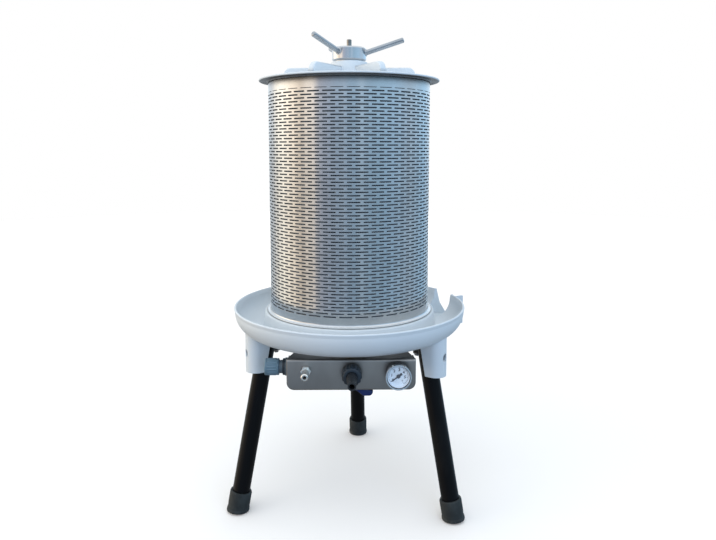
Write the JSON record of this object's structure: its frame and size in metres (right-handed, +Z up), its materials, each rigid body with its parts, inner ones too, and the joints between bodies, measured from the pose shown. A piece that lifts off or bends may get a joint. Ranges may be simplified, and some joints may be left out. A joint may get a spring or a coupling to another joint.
{
  "type": "fruit press",
  "caption": "Bladder basket press: slotted steel basket on a plastic juice tray with spout, leaning tube legs, ribbed lid under an armed clamp nut, and a panel with gauge and hose fittings.",
  "frame": {"origin": "on the floor, on the press axis", "axes": "+Z up along the spindle, -Y to the front of the control panel, +X to the right as seen from the front"},
  "size_m": [0.5053, 0.5291, 0.9504],
  "materials": {
    "white_plastic": "satin",
    "basket_steel": "brushed",
    "panel_steel": "brushed",
    "polished_steel": "polished",
    "zinc_steel": "zinc plated",
    "black_paint": "satin",
    "foot_rubber": "matte",
    "bladder_rubber": "matte",
    "bush_plastic": "matte",
    "brass": "turned",
    "nickel": "satin",
    "lever_blue": "gloss",
    "black_plastic": "satin",
    "dial_white": "matte",
    "clear_window": "clear",
    "coupling_grey": "satin",
    "sleeve_grey": "satin",
    "press_weave": "woven"
  },
  "bodies": {
    "stand": {"tray": "white_plastic", "control_panel": "panel_steel", "spindle": "polished_steel", "gauge_bezel": "polished_steel", "leg_bolts": "zinc_steel", "leg_nuts": "zinc_steel", "base_plate": "zinc_steel", "base_spacer": "zinc_steel", "base_washer": "zinc_steel", "base_nut": "zinc_steel", "core_nut": "zinc_steel", "core_tube": "zinc_steel", "core_cap": "zinc_steel", "bladder_clamp_ring": "zinc_steel", "bladder_clamp_disc": "zinc_steel", "base_bolts": "zinc_steel", "base_bolt_nuts": "zinc_steel", "riser_pipe": "zinc_steel", "relief_spring": "zinc_steel", "leg_rear": "black_paint", "leg_front_left": "black_paint", "leg_front_right": "black_paint", "foot_rear": "foot_rubber", "foot_front_left": "foot_rubber", "foot_front_right": "foot_rubber", "bladder": "bladder_rubber", "outlet_gasket": "bladder_rubber", "manifold": "brass", "manifold_plug": "brass", "drain_valve_body": "brass", "gauge_stem": "brass", "relief_valve_body": "nickel", "hose_tail": "black_plastic", "gauge_case": "black_plastic", "gauge_dial": "dial_white", "gauge_window": "clear_window", "inlet_body": "coupling_grey"},
    "basket": {"basket": "basket_steel", "press_cloth": "press_weave"},
    "lid": {"lid": "white_plastic", "lid_bush": "bush_plastic"},
    "nut_washer": {"thrust_washer": "polished_steel"},
    "clamp_nut": {"clamp_nut": "polished_steel", "clamp_arms": "polished_steel"},
    "drain_lever": {"drain_ball": "brass", "drain_stem": "zinc_steel", "drain_lever": "lever_blue", "lever_screw": "zinc_steel"},
    "outlet_slip_ring": {"outlet_slip_ring": "zinc_steel"},
    "outlet_nut": {"outlet_union_nut": "black_plastic"},
    "relief_poppet": {"relief_poppet": "brass"},
    "gauge_pointer": {"gauge_pointer": "black_plastic"},
    "inlet_sleeve": {"inlet_sleeve": "sleeve_grey"}
  },
  "joints": [
    {"name": "basket_lift", "type": "slide", "parent": "stand", "child": "basket", "axis": [0, 0, 1], "range_m": [0, 0.57]},
    {"name": "lid_lift", "type": "slide", "parent": "basket", "child": "lid", "axis": [0, 0, 1], "range_m": [0, 0.15]},
    {"name": "nut_lift", "type": "slide", "parent": "lid", "child": "nut_washer", "axis": [0, 0, 1], "range_m": [0, 0.0272]},
    {"name": "nut_turn", "type": "hinge", "parent": "nut_washer", "child": "clamp_nut", "pos_m": [0, 0, 0.905], "axis": [0, 0, 1], "range_deg": [0, 2430]},
    {"name": "drain_lever_turn", "type": "hinge", "parent": "stand", "child": "drain_lever", "pos_m": [0.004, -0.1725, 0.277], "axis": [0, 0, 1], "range_deg": [0, 90]},
    {"name": "outlet_nut_travel", "type": "slide", "parent": "stand", "child": "outlet_slip_ring", "axis": [0, -1, 0], "range_m": [0, 0.0142]},
    {"name": "outlet_nut_turn", "type": "hinge", "parent": "outlet_slip_ring", "child": "outlet_nut", "pos_m": [0.004, -0.2, 0.315], "axis": [0, -1, 0], "range_deg": [0, 2520]},
    {"name": "relief_lift", "type": "slide", "parent": "stand", "child": "relief_poppet", "axis": [0, -1, 0], "range_m": [0, 0.003], "stiffness_N_per_m": 1200, "springref_m": -0.005, "deforming": ["relief_spring"]},
    {"name": "gauge_pointer_turn", "type": "hinge", "parent": "stand", "child": "gauge_pointer", "pos_m": [0.089, -0.206, 0.315], "axis": [0, 1, 0], "range_deg": [0, 270], "stiffness_Nm_per_rad": 0.001},
    {"name": "inlet_sleeve_slide", "type": "slide", "parent": "stand", "child": "inlet_sleeve", "axis": [1, 0, 0], "range_m": [0, 0.006], "stiffness_N_per_m": 400, "springref_m": -0.004}
  ],
  "couplings": [
    {"joint": "nut_lift", "follows": "nut_turn", "m_per_rad": 0.00063662},
    {"joint": "outlet_nut_travel", "follows": "outlet_nut_turn", "m_per_rad": 0.00031831}
  ]
}
